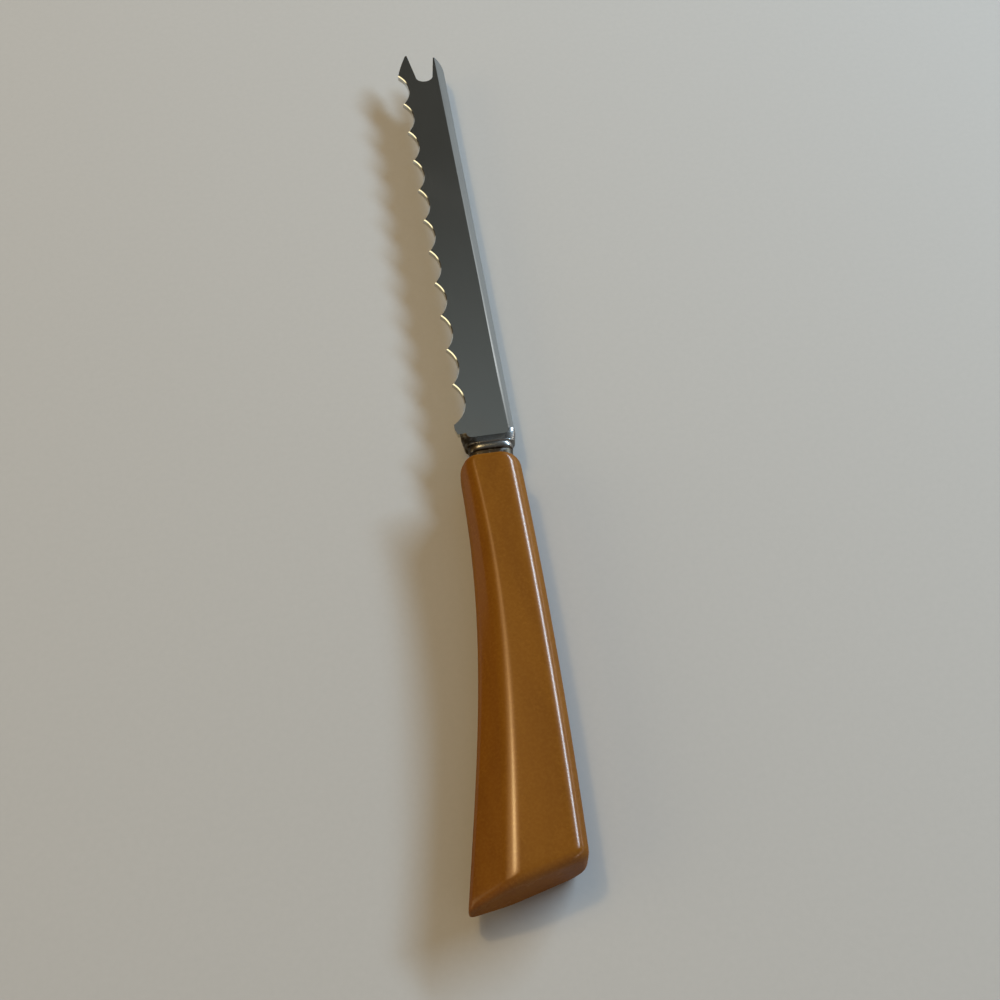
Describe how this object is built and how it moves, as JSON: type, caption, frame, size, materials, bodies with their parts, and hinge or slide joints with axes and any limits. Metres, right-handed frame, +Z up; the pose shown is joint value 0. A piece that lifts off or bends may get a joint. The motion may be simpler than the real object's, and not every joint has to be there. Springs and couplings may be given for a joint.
{
  "type": "cheese knife",
  "caption": "Cheese knife: a straight scalloped steel blade with a forked tip, a stepped bolster and a flared, flat-sided cast resin handle with a slanted butt.",
  "frame": {"origin": "on the flat face of the handle that the knife lies on, under the blade's centre line and 30 mm behind the handle's front", "axes": "+Y from butt to tip, +X from the cutting edge to the spine, +Z up through the thickness"},
  "size_m": [0.0247, 0.2161, 0.013],
  "materials": {
    "blade_steel": "polished stainless steel with fine lengthwise grinding marks",
    "bolster_steel": "polished steel, dulled and dark with age at the sides and in the groove",
    "handle_resin": "glossy butterscotch cast phenolic resin",
    "cement": "dull cutler's cement"
  },
  "bodies": {
    "root": {"blade": "blade_steel", "bolster": "bolster_steel", "handle": "handle_resin", "tang_cement": "cement"}
  },
  "joints": []
}
